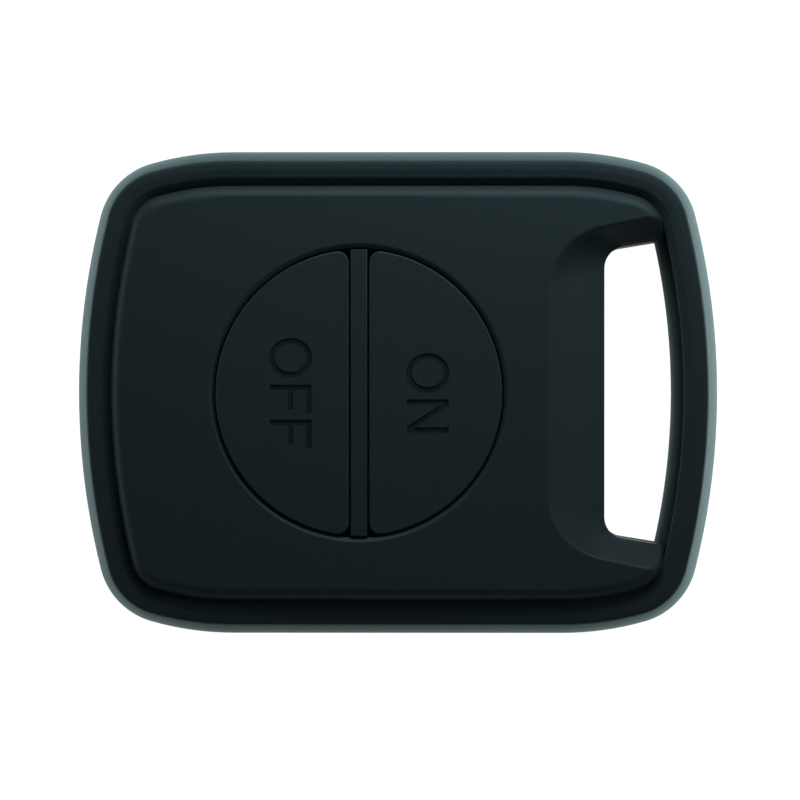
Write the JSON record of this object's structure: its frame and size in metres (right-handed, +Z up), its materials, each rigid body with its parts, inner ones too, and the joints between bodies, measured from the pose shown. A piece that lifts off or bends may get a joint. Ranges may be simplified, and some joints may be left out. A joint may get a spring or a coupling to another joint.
{
  "type": "alarm remote control",
  "caption": "Hand-held alarm remote control: rounded fob with a soft bumper band, a round pair of on and off keys, and a strap slot at one end.",
  "frame": {"origin": "centre of the outline on the flat face of the rear cover, which the remote lies on", "axes": "+X along the length towards the strap slot, +Z up out of the keys, +Y across"},
  "size_m": [0.056, 0.0422, 0.013],
  "materials": {
    "cover_plastic": "fine matt moulded grain",
    "soft_band": "smooth soft-touch elastomer",
    "key_plastic": "fine matt moulded grain",
    "silicone_mat": "matt silicone",
    "board_laminate": "green solder mask",
    "chip_moulding": "matt epoxy moulding",
    "plunger_plastic": "moulded nylon",
    "pressed_steel": "tin-plated sheet",
    "crystal_can": "plated lid",
    "small_part_ceramic": "sintered, matt",
    "tinned_wire": "tinned copper wire",
    "cell_can": "nickel-plated steel",
    "screw_steel": "black-zinc steel"
  },
  "bodies": {
    "housing": {"bumper_frame": "soft_band", "front_cover": "cover_plastic", "rear_cover": "cover_plastic", "key_carrier": "key_plastic", "keypad_mat": "silicone_mat", "circuit_board": "board_laminate", "crystal": "crystal_can", "chip_parts": "small_part_ceramic", "wire_antenna": "tinned_wire", "coin_cell": "cell_can", "positive_clip": "pressed_steel", "negative_contact": "pressed_steel", "cover_screws": "screw_steel", "radio_chip": "chip_moulding", "controller_chip": "chip_moulding", "on_switch_body": "chip_moulding", "on_switch_plate": "pressed_steel", "off_switch_body": "chip_moulding", "off_switch_plate": "pressed_steel"},
    "on_button": {"on_key": "key_plastic", "on_switch_plunger": "plunger_plastic"},
    "off_button": {"off_key": "key_plastic", "off_switch_plunger": "plunger_plastic"}
  },
  "joints": [
    {"name": "on_press", "type": "slide", "parent": "housing", "child": "on_button", "axis": [0, 0, -1], "range_m": [0, 0.0005], "stiffness_N_per_m": 2500, "springref_m": -0.0003, "deforming": ["keypad_mat"]},
    {"name": "off_press", "type": "slide", "parent": "housing", "child": "off_button", "axis": [0, 0, -1], "range_m": [0, 0.0005], "stiffness_N_per_m": 2500, "springref_m": -0.0003, "deforming": ["keypad_mat"]}
  ]
}
